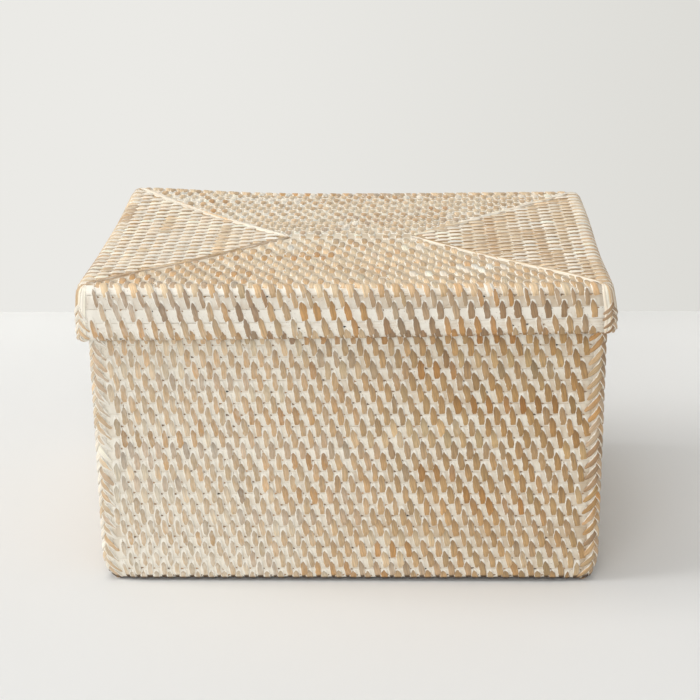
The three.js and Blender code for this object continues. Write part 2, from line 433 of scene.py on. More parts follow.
def fill_mesh(mesh, vertices, loops, totals, slots):
    """A smooth mesh from arrays of corners of faces."""
    corners = np.concatenate([part.ravel() for part in loops])
    mesh.vertices.add(len(vertices))
    mesh.vertices.foreach_set("co", vertices.astype(np.float32).ravel())
    mesh.loops.add(len(corners))
    mesh.loops.foreach_set("vertex_index", corners.astype(np.int32))
    mesh.polygons.add(len(totals))
    mesh.polygons.foreach_set("loop_start", (np.cumsum(totals) - totals).astype(np.int32))
    mesh.polygons.foreach_set("material_index", slots.astype(np.int32))
    mesh.polygons.foreach_set("use_smooth", np.ones(len(totals), bool))
    mesh.update(calc_edges=True)


def tube_size(points):
    """Mean length and girth of tubes."""
    length = np.linalg.norm(np.diff(points[:, :, 0], axis=1), axis=-1).sum(1).mean()
    ring = points[:, points.shape[1] // 2]
    girth = np.linalg.norm(ring - np.roll(ring, 1, axis=1), axis=-1).sum(1).mean()
    return length, girth


def tube_area(points):
    """Surface of all tubes together."""
    length, girth = tube_size(points)
    return len(points) * length * girth


# The share of a tube's cell in the atlas that is left free at each edge
ATLAS_MARGIN = 0.06


def tube_faces(points, low, share):
    """Corners of the side and end faces of tubes, and their places in the atlas from low to low + share."""
    count, stations, section, _ = points.shape
    numbers = np.arange(count * stations * section).reshape(count, stations, section)
    onward = np.roll(numbers, -1, axis=2)
    side = np.stack([numbers[:, :-1], onward[:, :-1], onward[:, 1:], numbers[:, 1:]], -1)
    ends = [numbers[:, 0, ::-1], numbers[:, -1]]
    length, girth = tube_size(points)
    columns = max(1, math.ceil(math.sqrt(count * length / (share * girth))))
    rows = math.ceil(count / columns)
    width, height = 1 / columns, share / rows
    place = np.arange(count)
    left = (place % columns * width)[:, None, None]
    bottom = (low + place // columns * height)[:, None, None]
    filled = 1 - 2 * ATLAS_MARGIN
    across = ATLAS_MARGIN + filled * (np.arange(section + 1) / section)
    along = ATLAS_MARGIN + filled * (np.arange(stations) / (stations - 1))
    grid = joined(left + width * across[None, None, :], bottom + height * along[None, :, None])
    side_map = np.stack([grid[:, :-1, :-1], grid[:, :-1, 1:], grid[:, 1:, 1:], grid[:, 1:, :-1]], -2)
    end_maps = [grid[:, 0, section - 1 :: -1], grid[:, -1, :section]]
    if inside_out(points[0]):
        side, side_map = side[..., ::-1], side_map[..., ::-1, :]
        ends = [part[:, ::-1] for part in ends]
        end_maps = [part[:, ::-1] for part in end_maps]
    return [side.reshape(-1, 4), *ends], [side_map, *end_maps]


def inside_out(tube):
    """True if a tube's side faces, in the order that tube_faces gives them, point inwards."""
    ring, after = tube[:-1], tube[1:]
    around = np.roll(ring, -1, axis=1) - ring
    forward = after - ring
    normal = np.cross(around, forward)
    outward = ring - ring.mean(axis=1, keepdims=True)
    return (normal * outward).sum() < 0


# Stations along a stitch: share of its length, its left and right shares of the half width, and its height.
# It comes out of a groove as a painted point, and goes into the next groove but one blunt.
STITCH = np.array(
    [
        (0.0, 0.5, 0.7, -2.0),
        (0.06, 0.7, 0.9, -0.75),
        (0.2, 0.92, 1.05, -0.3),
        (0.36, 1.0, 1.06, -0.06),
        (0.52, 1.04, 1.04, 0.02),
        (0.72, 0.98, 0.96, 0.04),
        (0.92, 0.8, 0.82, -0.28),
        (1.0, 0.68, 0.7, -1.7),
    ]
)
# A stitch that folds over an edge at its upper end
FOLDED = STITCH.copy()
FOLDED[:4, 1:3] = 1.0
FOLDED[:4, 3] = (-1.5, -0.3, 0.0, 0.0)


def even(*stations):
    """Stations of a strip that is as wide on its left as on its right: share, width and height."""
    return np.array([(share, width, width, height) for share, width, height in stations])


# A raised stitch on the lid's long sides
RIB = even(
    (0.0, 0.55, -1.3),
    (0.08, 0.85, -0.45),
    (0.25, 1.0, -0.02),
    (0.5, 1.05, 0.12),
    (0.75, 1.0, 0.05),
    (0.92, 0.8, -0.35),
    (1.0, 0.5, -1.3),
)
# A raised stitch on its short sides, pointed so that its neighbours reach between its ends
GRAIN = even(
    (0.0, 0.2, -1.3),
    (0.1, 0.55, -0.5),
    (0.25, 0.85, -0.08),
    (0.5, 1.0, 0.12),
    (0.75, 0.85, -0.05),
    (0.9, 0.55, -0.5),
    (1.0, 0.2, -1.3),
)
# A low strip between raised stitches
SUNK = even((0.0, 0.9, -1.3), (0.15, 1.0, -0.5), (0.5, 1.0, -0.4), (0.85, 1.0, -0.5), (1.0, 0.9, -1.3))
# A stitch that bends over the lid's edge
EDGE = STITCH.copy()
EDGE[:4, 1:3] = (0.95, 1.15)
EDGE[:4, 3] = (-1.6, -0.5, -0.15, 0.0)
EDGE[5:7, 1:3] = (0.95, 0.9)
# A stitch on a side that is seldom seen
PLAIN = even((0.0, 0.5, -1.7), (0.12, 0.9, -0.2), (0.5, 1.0, -0.05), (0.88, 1.0, -0.2), (1.0, 0.8, -1.7))
# A long strand that stands on the weave, and a flat one that lies in it
LENGTHWAYS = np.linspace(0, 1, 14)
TAPER = np.minimum(1, 0.4 + 8 * np.minimum(LENGTHWAYS, 1 - LENGTHWAYS))
STRAND = np.stack([LENGTHWAYS, TAPER, TAPER, 1.6 * TAPER - 1.35], 1)
BED = np.stack([LENGTHWAYS, TAPER, TAPER, TAPER - 1.4], 1)
# Corners of a strip's section: share of its half width, and height below its crown
STRIP_SECTION = np.array([(-1, -0.78), (1, -0.78), (1, -0.22), (0.55, 0.0), (-0.55, 0.0), (-1, -0.22)])
RIB_SECTION = np.array([(-1, -0.8), (1, -0.8), (0.96, -0.32), (0.5, 0.0), (-0.5, 0.0), (-0.96, -0.32)])
PLAIN_SECTION = np.array([(-1, -0.75), (1, -0.75), (0.8, 0.0), (-0.8, 0.0)])
# Half of a rod's section: share of its half thickness, and of its half width
ROD_SHOULDER = [(1.0, 0.86), (0.95, 0.985), (0.6, 1.0)]
ROD_HALF = ROD_SHOULDER + [(-out, wide) for out, wide in ROD_SHOULDER[::-1]]
ROD_SECTION = np.array(ROD_HALF + [(out, -wide) for out, wide in ROD_HALF[::-1]])
# A rod at a rim is round below
RIM_ROUND = 0.6
RIM_ARC = [(math.cos(a), RIM_ROUND - 1 - RIM_ROUND * math.sin(a)) for a in np.linspace(math.pi, 0, 7)]
RIM_SECTION = np.array(ROD_HALF + RIM_ARC)
# A dark strip in the groove beside a stitch: partly the end of a strand, partly painted shade that the stitch
# throws into the groove
TUCK = even((0.0, 0.6, -0.62), (0.4, 0.66, -0.58), (1.0, 0.1, -0.68))
TUCK_SECTION = np.array([(-1, -0.5), (1, -0.5), (0.8, 0.0), (-0.8, 0.0)])
TUCK_HALF_WIDTH = 0.85
TUCK_LENGTHS = (1.0, 2.2)
# How far it lies under the stitch, at which share of the stitch's length, and how much tucks differ
TUCK_OVERLAP = 0.4
TUCK_AT = 0.5
TUCK_SPREADS = (0.15, 0.25)
TUCK_SHADE_SPREAD = 0.35
# Their colour, darkened as painted shade
TUCK_SHADOW_TONE = linear(158, 128, 96)
ROD, STRIP, POLE = 0, 1, 2
UNPAINTED = 1.0
# A factor on a strip's across value that puts its flanks into the painted shade
SHADED_FLANKS = 1.25


def strips(place, starts, ends, half_width, stations, section, bow=0.0, top=0.0, flank_shade=0.0):
    """Strips from starts to ends, each (along, distance) on a surface, with their strand values.

    A bowed strip leaves its start along the profile. A top of UNPAINTED keeps paint off its upper end.
    The last argument, when set, paints shade onto its flanks.
    """
    share, left, right, lift = stations.T
    across, crown = section.T
    run = ends - starts
    length = np.linalg.norm(run, axis=1, keepdims=True)
    sideways = np.stack([run[:, 1], -run[:, 0]], 1) / length
    course = np.stack([share + bow * share * (share - 1), share], -1)
    middle = starts[:, None, :] + course[None] * run[:, None, :]
    spread = across * np.where(across < 0, left[:, None], right[:, None])
    width = np.broadcast_to(half_width, len(starts))[:, None, None] * spread[None]
    along = middle[..., 0, None] + width * sideways[:, 0, None, None]
    distance = middle[..., 1, None] + width * sideways[:, 1, None, None]
    out = np.broadcast_to(lift[None, :, None] + crown, along.shape)
    seeds = random.random(len(starts))
    aside = np.broadcast_to(across * flank_shade, spread.shape) if flank_shade else spread
    strand = joined(aside[None], share[None, :, None] + top, seeds[:, None, None])
    return place(along, distance, out), strand


def peel_tints(count, mix, bare=1.0, run=COLOUR_RUN):
    """A colour for each stitch in a row, in runs, and how bare of paint it is."""
    tones = np.zeros(count, int)
    tone = random.choice(len(mix), p=mix)
    for number in range(count):
        if random.random() < 1 / run:
            tone = random.choice(len(mix), p=mix)
        tones[number] = tone
    tones[random.random(count) < DARK_SHARE] = DARK
    shade = random.normal(1, SHADE_SPREAD, (count, 1))
    warmth = 1 + random.normal(0, WARMTH_SPREAD, (count, 1)) * np.array([1, 0, -1])
    bareness = np.clip(random.normal(bare, BARE_SPREAD, (count, 1)), 0, 1)
    return np.concatenate([np.clip(PEEL_TONES[tones] * shade * warmth, 0.02, 0.95), bareness], 1)


# How worn the paint on rods is, and how much rods differ
ROD_WEAR = 0.2
ROD_WEAR_SPREAD = 0.06
ROD_SHADE_SPREAD = 0.02


def rod_tints(count, worn=ROD_WEAR):
    """A colour of paint for each rod, and how worn it is."""
    shade = random.normal(1, ROD_SHADE_SPREAD, (count, 1))
    wear = np.clip(random.normal(worn, ROD_WEAR_SPREAD, (count, 1)), 0, 1)
    return np.concatenate([np.array(PAINT) * shade, wear], 1)


# Waves of a rod's line
WAVES = (1.3, 2.9, 5.7)


def wander(count, stations, size):
    """Smooth random offsets along rods."""
    share = np.linspace(0, 1, stations)
    total = np.zeros((count, stations))
    for wave in WAVES:
        phase = random.uniform(0, 2 * math.pi, (count, 1))
        total += random.normal(0, size / 2, (count, 1)) * np.sin(wave * math.pi * share + phase)
    return total * (1 - np.abs(2 * share - 1) ** 6)


# The length of a rod's steps, and how far it strays from a straight line
ROD_STEP = 6.0
ROD_WANDER = 0.12


def rods(half, side, centres, halves, mitred, end_gap, section=ROD_SECTION):
    """Straight rods on a side, with centres and half sizes as inward distance and height.

    Mitred rods end on the diagonals of the plan, and others at the corner columns.
    """
    length, reach = side_sizes(half, side)
    centres, halves = np.array(centres, float), np.array(halves, float)
    count = len(centres)
    stations = max(3, round(2 * length / ROD_STEP))
    share = np.linspace(-1, 1, stations)
    middle_in = (centres[:, 0, None] + wander(count, stations, ROD_WANDER))[..., None]
    middle_up = (centres[:, 1, None] + wander(count, stations, ROD_WANDER))[..., None]
    out, wide = section.T
    inward = middle_in + halves[:, 0, None, None] * (wide if mitred else -out)
    height = middle_up + halves[:, 1, None, None] * (out if mitred else wide)
    reach_along = length - (inward if mitred else 0 * inward) - end_gap
    along = share[None, :, None] * reach_along
    points = turned(np.stack([along, inward - reach, height], -1), side)
    seeds = random.random(count)
    return points, joined(np.abs(wide)[None, None, :], along / COURSE, seeds[:, None, None])


def stitch_lattice(row, limit, pitch, drift):
    """Places of a row's stitches along a side, each row shifted from the one before."""
    count = math.ceil(limit / pitch) + 1
    places = pitch * (np.arange(-count, count + 1) + row * ROW_SHIFT % 1 - 0.5)
    places = places + drift * places**2 / max(limit, 1) + random.normal(0, PLACE_SPREAD, len(places))
    return places[np.abs(places) < limit]


def all_bare(along, share):
    """Stitches with hardly any paint on them."""
    return np.ones(len(along))


def unfaded(along, share):
    """Stitches of the same warmth all along a row."""
    return np.zeros(len(along))


# How much red, green and blue change where the front's stitches are rich, which on the wall is partly painted
# shade, and where they are pale
RICH_AND_SHADE = np.array([-0.15, -0.2, -0.3])
PALE = np.array([0.0, 0.1, 0.26])
# How rich the front is at the right, how much less so at the wall's foot, and how pale at the left; the
# richness, strongest at the upper right under the lid, is partly tone and partly painted shade
WALL_RICHNESS_AND_SHADE = 1.9
FOOT_LOSS = 0.8
WALL_PALENESS = 1.3
SKIRT_RICHNESS = 1.2
SKIRT_PALENESS = 0.4
# How much paint covers the front's stitches at the left end of the wall, at its foot there and at the left
# end of the skirt, and how bare the other stitches of the skirt are
LEFT_PAINT = 0.3
FOOT_PAINT = 0.36
SKIRT_PAINT = 0.38
SKIRT_BARENESS = 0.98
# Where that paint ends on the wall, and its slope and offset along the wall's foot
LEFT_END = 0.4
FOOT_SLOPE = 1.4
FOOT_OFFSET = 0.1
# Where such changes begin and how far they take: down the wall, and towards the left end of the skirt
FOOT_FADE = (0.45, 0.5)
FOOT_RISE = (0.65, 0.3)
SKIRT_RISE = (0.25, 0.7)


def wall_fade(along, share):
    """Stitches of the front wall are palest at the lower left, and richest and darkest at the upper right:
    partly tone, partly painted shade under the lid.
    """
    right = ease((along / BODY_HALF[0] + 1) / 2)
    low = rise(share, *FOOT_FADE)
    return right * (WALL_RICHNESS_AND_SHADE - FOOT_LOSS * low) - (1 - right) * WALL_PALENESS * share


def wall_bareness(along, share):
    """Stitches of the front wall have most paint on them at the left end, above all at its foot."""
    left = ease(LEFT_END - along / BODY_HALF[0])
    foot = ease(-FOOT_SLOPE * along / BODY_HALF[0] - FOOT_OFFSET) * rise(share, *FOOT_RISE)
    return 1 - (LEFT_PAINT * left + FOOT_PAINT * foot)


def skirt_fade(along, share):
    """Stitches of the front skirt are paler at the left end and richer at the right."""
    return ease((along / LID_HALF[0] + 1) / 2) * SKIRT_RICHNESS - SKIRT_PALENESS


def skirt_bareness(along, share):
    """Stitches of the front skirt have most paint on them at the left end."""
    return SKIRT_BARENESS - SKIRT_PAINT * rise(-along / LID_HALF[0], *SKIRT_RISE)


def lay_rows(weave, place, bounds, limits, mix, slant, stations=STITCH, section=STRIP_SECTION, **looks):
    """Rows of stitches between pairs of distances, each within its limit of the middle."""
    first = looks.get("first", 0)
    fade = looks.get("fade", unfaded)
    bare = looks.get("bare", all_bare)
    half_width = looks.get("half_width", STITCH_HALF_WIDTH)
    pitch = looks.get("pitch", STITCH_PITCH)
    for row, ((begin, end), limit) in enumerate(zip(bounds, limits)):
        along = stitch_lattice(first + row, limit, pitch, looks.get("drift", 0.0))
        turn = looks.get("turn", 0.0) * along / limit
        lean = (end - begin) * (slant + turn + random.normal(0, LEAN_SPREAD, len(along)))
        reach = random.normal(0, END_SPREAD, (2, len(along)))
        starts = np.stack([along - lean / 2, begin + reach[0]], 1)
        ends = np.stack([along + lean / 2, end + reach[1] * LOWER_END_SHARE], 1)
        width = half_width * random.normal(1, WIDTH_SPREAD, len(along))
        shading = {name: looks[name] for name in ("top", "flank_shade") if name in looks}
        points, strand = strips(place, starts, ends, width, stations, section, **shading)
        tints = peel_tints(len(along), mix, run=looks.get("run", COLOUR_RUN))
        share = looks.get("share", row / max(1, len(bounds) - 1))
        tints[:, 3] *= bare(along, share)
        change = fade(along, share)[:, None]
        tints[:, :3] *= 1 + np.maximum(change, 0) * RICH_AND_SHADE + np.maximum(-change, 0) * PALE
        weave.add(points, strand, np.clip(tints, 0, 1), STRIP)
        if "tuck_at" in looks:
            beside = starts + (ends - starts) * looks["tuck_at"] + np.stack([width, 0 * width], 1)
            lay_tucks(weave, place, beside[random.random(len(beside)) < TUCK_SHARE])


def lay_tucks(weave, place, beside):
    """Short dark strips in the groove to the right of stitches: partly ends of strands, partly painted shade.
    """
    count = len(beside)
    rises = random.normal(0, TUCK_SPREADS[0], count)
    begin = beside + np.stack([np.full(count, -TUCK_OVERLAP), rises], 1)
    lengths = random.uniform(*TUCK_LENGTHS, count)
    end = begin + np.stack([lengths, random.normal(0, TUCK_SPREADS[1], count)], 1)
    points, strand = strips(place, begin, end, TUCK_HALF_WIDTH, TUCK, TUCK_SECTION, top=UNPAINTED)
    shade = random.normal(1, TUCK_SHADE_SPREAD, (count, 1))
    tints = np.concatenate([np.array(TUCK_SHADOW_TONE) * shade, np.ones((count, 1))], 1)
    weave.add(points, strand, np.clip(tints, 0, 1), STRIP)


# Materials


class Value:
    """A number that a node gives, to reckon with."""

    def __init__(self, nodes, socket):
        self.nodes = nodes
        self.socket = socket

    def __add__(self, other):
        return self.nodes.math("ADD", self, other)

    def __sub__(self, other):
        return self.nodes.math("SUBTRACT", self, other)

    def __rsub__(self, other):
        return self.nodes.math("SUBTRACT", other, self)

    def __mul__(self, other):
        return self.nodes.math("MULTIPLY", self, other)

    def __pow__(self, other):
        return self.nodes.math("POWER", self, other)

    def __abs__(self):
        return self.nodes.math("ABSOLUTE", self)


class Nodes:
    """Short ways to add nodes to a tree."""

    def __init__(self, tree):
        self.tree = tree

    def set(self, socket, value):
        """Gives a socket a value, or links it to another socket."""
        source = value.socket if isinstance(value, Value) else value
        if isinstance(source, bpy.types.NodeSocket):
            self.tree.links.new(source, socket)
        elif source is not None:
            socket.default_value = source

    def math(self, operation, first, second=None):
        node = self.tree.nodes.new("ShaderNodeMath")
        node.operation = operation
        self.set(node.inputs[0], first)
        self.set(node.inputs[1], second)
        return Value(self, node.outputs[0])

    def ramp(self, value, low, high, first=0.0, last=1.0):
        """A smooth change from first to last as a value goes from low to high."""
        node = self.tree.nodes.new("ShaderNodeMapRange")
        node.interpolation_type = "SMOOTHSTEP"
        for socket, given in zip(node.inputs, (value, low, high, first, last)):
            self.set(socket, given)
        return Value(self, node.outputs[0])

    def mix(self, share, first, second, blend="MIX"):
        node = self.tree.nodes.new("ShaderNodeMix")
        node.data_type = "RGBA"
        node.blend_type = blend
        self.set(node.inputs["Factor"], share)
        colours = [socket for socket in node.inputs if socket.type == "RGBA"]
        for socket, colour in zip(colours, (first, second)):
            self.set(socket, (*colour, 1) if isinstance(colour, tuple) else colour)
        return next(socket for socket in node.outputs if socket.type == "RGBA")

    def noise(self, vector, scale, detail):
        node = self.tree.nodes.new("ShaderNodeTexNoise")
        self.set(node.inputs["Vector"], vector)
        node.inputs["Scale"].default_value = scale
        node.inputs["Detail"].default_value = detail
        return Value(self, node.outputs["Fac"])

    def attribute(self, name):
        node = self.tree.nodes.new("ShaderNodeAttribute")
        node.attribute_name = name
        return node.outputs

    def split(self, vector):
        node = self.tree.nodes.new("ShaderNodeSeparateXYZ")
        self.set(node.inputs[0], vector)
        return [Value(self, socket) for socket in node.outputs]

    def join(self, x, y, z):
        node = self.tree.nodes.new("ShaderNodeCombineXYZ")
        for socket, value in zip(node.inputs, (x, y, z)):
            self.set(socket, value)
        return node.outputs[0]

    def position(self, kind="Object"):
        return self.tree.nodes.new("ShaderNodeTexCoord").outputs[kind]

    def shade_underneath(self):
        """Painted shade: 1 where a surface by the floor faces down, and 0 elsewhere."""
        normal = self.tree.nodes.new("ShaderNodeNewGeometry").outputs["Normal"]
        down = self.ramp(self.split(normal)[2], -0.7, -0.3, 1.0, 0.0)
        return down * self.ramp(self.split(self.position())[2], 0.003, 0.006, 1.0, 0.0)


class Shader(Nodes):
    """A material with a principled surface."""

    def __init__(self, name):
        self.material = bpy.data.materials.new(name)
        self.material.use_nodes = True
        super().__init__(self.material.node_tree)
        self.surface = self.tree.nodes["Principled BSDF"]

    def bump(self, height, strength, distance):
        node = self.tree.nodes.new("ShaderNodeBump")
        node.inputs["Strength"].default_value = strength
        node.inputs["Distance"].default_value = distance
        self.set(node.inputs["Height"], height)
        self.set(self.surface.inputs["Normal"], node.outputs[0])

    def finish(self, colour, roughness):
        self.set(self.surface.inputs["Base Color"], colour)
        self.set(self.surface.inputs["Roughness"], roughness)
        return self.material


def peel_material():
    """Rattan peel: a tinted satin skin with fibres along it, paint left at its edges and upper end, and
    painted shade at its upper end, on rib flanks and underneath.
    """
    shader = Shader("peel")
    across, along, seed = shader.split(shader.attribute("Strand")["Vector"])
    tint = shader.attribute("Tint")
    painted = 1.0 - Value(shader, tint["Alpha"])
    fibre = shader.noise(shader.join(across * 1.3, along * 0.6 + seed * 40, seed), 3.0, 3.0)
    patch = shader.noise(shader.join(across * 0.8, along * 3.0 + seed * 23, seed), 1.3, 4.0)
    # Fibres streak the skin, and each stitch is darker towards its upper end, as painted shade where it comes
    # out of its groove
    streaks_and_shade = shader.ramp(fibre, 0.3, 0.7, 1.14, 0.78) * shader.ramp(along, 0, 0.75, 0.6, 1.06)
    skin = shader.mix(1.0, tint["Color"], shader.join(streaks_and_shade, streaks_and_shade, streaks_and_shade), "MULTIPLY")
    # Half of the width that is bare: it closes at the upper end, and on painted stitches at the lower end too
    upper = shader.math("MAXIMUM", (along - (painted * 0.12 + 0.13)) * 3.4, 0.0) ** 0.55
    middle = 0.93 - painted * 0.5
    low = shader.math("MINIMUM", along, 1.0) - 0.55
    lower = 1.2 - shader.math("MAXIMUM", low, 0.0) * painted * 5.0
    bare_half = shader.math("MINIMUM", shader.math("MINIMUM", upper, middle), lower)
    aside = abs(across - 0.08) + (patch - 0.5) * 0.95
    lens_paint = shader.ramp(aside - bare_half, -0.15, 0.12)
    veil = painted * shader.ramp(patch, 0.35, 0.65, 0.2, 0.75)
    paint = shader.math("MAXIMUM", lens_paint, veil)
    roughness = shader.ramp(paint, 0.0, 1.0, 0.45, 0.7)
    shader.bump(fibre, 0.35, 0.0003)
    # Painted shade: the flanks of raised ribs are darkened brown, as shade between the ribs
    flank_shade = shader.ramp(abs(across), 1.08, 1.16)
    colour = shader.mix(flank_shade, shader.mix(paint, skin, PAINT), FLANK_SHADE_TONE)
    return shader.finish(shader.mix(shader.shade_underneath(), colour, UNDERSIDE_SHADE), roughness)


def rod_material():
    """Painted rod: off-white with a faint grain and a few specks; paint worn thinner towards the right,
    partly as painted shade; painted shade in the grooves and underneath.
    """
    shader = Shader("painted_rod")
    wide, along, seed = shader.split(shader.attribute("Strand")["Vector"])
    tint = shader.attribute("Tint")
    spot = shader.position()
    grain = shader.noise(shader.join(wide * 5.0, along * 0.5 + seed * 50, seed), 2.0, 3.0)
    cloud = shader.noise(spot, 90.0, 3.0)
    speck = shader.noise(spot, 900.0, 1.0)
    # Paint wears thinner towards the right: partly wear, partly painted shade where less light falls
    rightward_wear_and_shade = shader.ramp(shader.split(spot)[0], -0.1, 0.16, -0.05, 0.12)
    worn = Value(shader, tint["Alpha"]) + cloud * 0.5 + grain * 0.4 + rightward_wear_and_shade
    thin = shader.ramp(worn, 0.55, 1.0, 0.0, 0.75)
    # Painted shade in the grooves between rods
    groove = shader.ramp(wide, 0.9, 1.0, 0.0, 0.08)
    painted = shader.mix(shader.math("MAXIMUM", thin, groove), tint["Color"], BARE_ROD)
    colour = shader.mix(shader.ramp(speck, 0.7, 0.78, 0.0, 0.5), painted, SPECK)
    shader.bump(grain + cloud, 0.3, 0.0004)
    return shader.finish(shader.mix(shader.shade_underneath(), colour, UNDERSIDE_SHADE), 0.62)


def pole_material():
    """The bare corner poles: pale wood with grain along Z."""
    shader = Shader("pole")
    x, y, z = shader.split(shader.position())
    grain = shader.noise(shader.join(x, y, z * 0.06), 900.0, 3.0)
    shader.bump(grain, 0.3, 0.0003)
    return shader.finish(shader.mix(shader.ramp(grain, 0.35, 0.65), *POLE_TONES), 0.6)


ROD_MATERIAL = rod_material()
PEEL_MATERIAL = peel_material()
POLE_MATERIAL = pole_material()


# The box


# How much closer the front wall's stitches stand at its left end, and how their lean changes along it
FRONT_DRIFT = 0.045
FRONT_TURN = 0.04
# How far a wall's rod lies below its peel, and how far it reaches into the next course
ROD_SINK = 0.15
ROD_OVERLAP = 0.05


def build_wall(side):
    """The rim rail, the wall and the base rail of one side, each a piece with its stitches."""
    name = SIDES[side]
    length = side_sizes(BODY_HALF, side)[0]
    place = on_side(BODY_HALF, side, WALL_PROFILE)
    edges = [wall_outside(BODY_TOP - course * WALL_COURSE) for course in range(WALL_COURSES + 1)]
    under = wall_outside(BASE_LIFT) + WALL / 2
    over = WALL_INSIDE - WALL_COURSE
    limit = length - CORNER - WALL_END_GAP
    looks = {"tuck_at": TUCK_AT}
    if side == 0:
        looks.update(bare=wall_bareness, fade=wall_fade, drift=FRONT_DRIFT, turn=FRONT_TURN)
    pieces = {kind: Weave("box") for kind in ("rim_rail", "wall", "base_rail")}
    half_rod = (RIM_RADIUS - PEEL - ROD_SINK, WALL_COURSE / 2 + ROD_OVERLAP)
    rows = [(edges[row], edges[row + 2]) for row in range(WALL_COURSES - 1)]
    lay_rows(pieces["wall"], place, rows, [limit] * len(rows), WALL_MIX, WALL_SLANT, **looks)
    above = [WALL_INSIDE - row * WALL_COURSE for row in range(WALL_COURSES - 3)]
    inner = [(distance - 2 * WALL_COURSE, distance) for distance in above]
    limits = [limit] * len(inner)
    lay_rows(pieces["wall"], place, inner, limits, WALL_MIX, INSIDE_SLANT, PLAIN, PLAIN_SECTION)
    lay_rows(pieces["rim_rail"], place, [(over, edges[1])], [limit], WALL_MIX, PLAIN_SLANT, FOLDED, first=-1)
    looks.update(first=len(rows), share=1.0)
    lay_rows(pieces["base_rail"], place, [(edges[-2], under)], [limit], BASE_MIX, BASE_SLANT, **looks)
    centres = [(WALL / 2, BODY_TOP - (course + 0.5) * WALL_COURSE) for course in range(WALL_COURSES)]
    kinds = ["rim_rail"] + ["wall"] * (WALL_COURSES - 2) + ["base_rail"]
    halves = [half_rod] * WALL_COURSES
    base = BASE_LIFT + PEEL
    centres[-1] = (WALL / 2, (WALL_COURSE + base) / 2)
    halves[-1] = (half_rod[0], (WALL_COURSE - base) / 2)
    for kind, piece in pieces.items():
        own = [number for number, owner in enumerate(kinds) if owner == kind]
        middles = [centres[number] for number in own]
        half_sizes = [halves[number] for number in own]
        points, strand = rods(BODY_HALF, side, middles, half_sizes, False, CORNER_RADIUS + ROD_END_GAP)
        tints = rod_tints(len(own))
        # Painted shade on the wall's rods between the stitches
        tints[:, :3] *= WALL_ROD_SHADE
        piece.add(points, strand, tints, ROD)
        piece.finish(f"{kind}_{name}", "painted_rod")


# How far the floor's rods are from the wall and from the mitres
FLOOR_GAP = 0.4
FLOOR_MITRE_GAP = 0.3


def build_floor(side):
    """One mitred section of the floor."""
    length = side_sizes(BODY_HALF, side)[0]
    weave = Weave("box")
    course = (BODY_HALF[1] - WALL) / FLOOR_COURSES
    centre = (FLOOR_TOP + FLOOR_BOTTOM) / 2
    half_rod = (course / 2, (FLOOR_TOP - FLOOR_BOTTOM) / 2 - PEEL)
    centres = [(WALL + FLOOR_GAP + (number + 0.5) * course, centre) for number in range(FLOOR_COURSES)]
    halves = [half_rod] * FLOOR_COURSES
    weave.add(*rods(BODY_HALF, side, centres, halves, True, FLOOR_MITRE_GAP), rod_tints(FLOOR_COURSES), ROD)
    rows = [(number * course, (number + 2) * course) for number in range(FLOOR_COURSES - 1)]
    for profile, begin, inward in ((FLOOR_ABOVE, BODY_HALF[1], -1), (FLOOR_BELOW, WALL, 1)):
        place = on_side(BODY_HALF, side, profile)
        insets = [begin + inward * (row + 1) * course for row in range(len(rows))]
        limits = [max(length - inset - MITRE_CLEAR, 1) for inset in insets]
        lay_rows(weave, place, rows, limits, WALL_MIX, PLAIN_SLANT, PLAIN, PLAIN_SECTION)
    weave.finish(f"floor_{SIDES[side]}", "painted_rod")


# How far from the lid's outer face the last rod of its top ends
LAST_ROD_RIM = EDGE_RADIUS + 0.6
# How deep the edge rod is, how far it is from its neighbours, how wide and deep its upper edges are cut off,
# and how much narrower it is below
EDGE_ROD_DEPTH = 3.6
EDGE_ROD_GAP = 0.1
EDGE_ROD_CUT = (0.5, 0.6)
EDGE_ROD_TAPER = 1


def edge_rod_span():
    """Distances along the lid's profile between which the edge rod lies."""
    return LID_HALF[1] - LAST_ROD_RIM + EDGE_ROD_GAP, skirt_outside(HEIGHT) + EDGE_COURSE - EDGE_ROD_GAP


def edge_rod_section():
    """The edge rod's section, as distance along the lid's profile and height."""
    begin, end = edge_rod_span()
    cut, drop = EDGE_ROD_CUT
    outer = [(distance, -PEEL) for distance in np.linspace(begin + cut, end - cut, 9)]
    inner = [(end - EDGE_ROD_TAPER, -EDGE_ROD_DEPTH), (begin + EDGE_ROD_TAPER, -EDGE_ROD_DEPTH)]
    return np.array([(begin, -PEEL - drop), *outer, (end, -PEEL - drop), *inner])


def edge_rod(place, limit):
    """The thick rod along the lid's edge, rounded as the edge is."""
    begin, end = edge_rod_span()
    distance, out = edge_rod_section().T
    stations = max(3, round(2 * limit / ROD_STEP))
    along = np.linspace(-limit, limit, stations)
    lie = wander(1, stations, ROD_WANDER)[0]
    grids = np.broadcast_arrays(along[:, None], distance, out + lie[:, None])
    wide = np.abs(2 * (distance - begin) / (end - begin) - 1)
    return place(*grids)[None], joined(wide, along[:, None] / COURSE, random.random())[None]


# How far the ribs of the lid's long and short sides reach before and beyond their courses, and how much lower
# those of the long sides are laid
RIB_EARLY, RIB_LATE = (0.7, 0.3), (0.1, 0.25)
RIB_DROP = 0.2
# How the paint of the lid's rods is tinted and worn, and how deep they lie, on its long and its short sides;
# the brown of the short sides' rods is partly wear and partly painted shade between the ribs
LID_PAINTS_AND_SHADE = ((1.0, 0.97, 0.9), (0.9, 0.78, 0.62))
LID_WEAR = (0.38, 0.5)
LID_ROD_DEPTHS = (0.1, 0.3)
LID_MITRE_GAP = 0.15


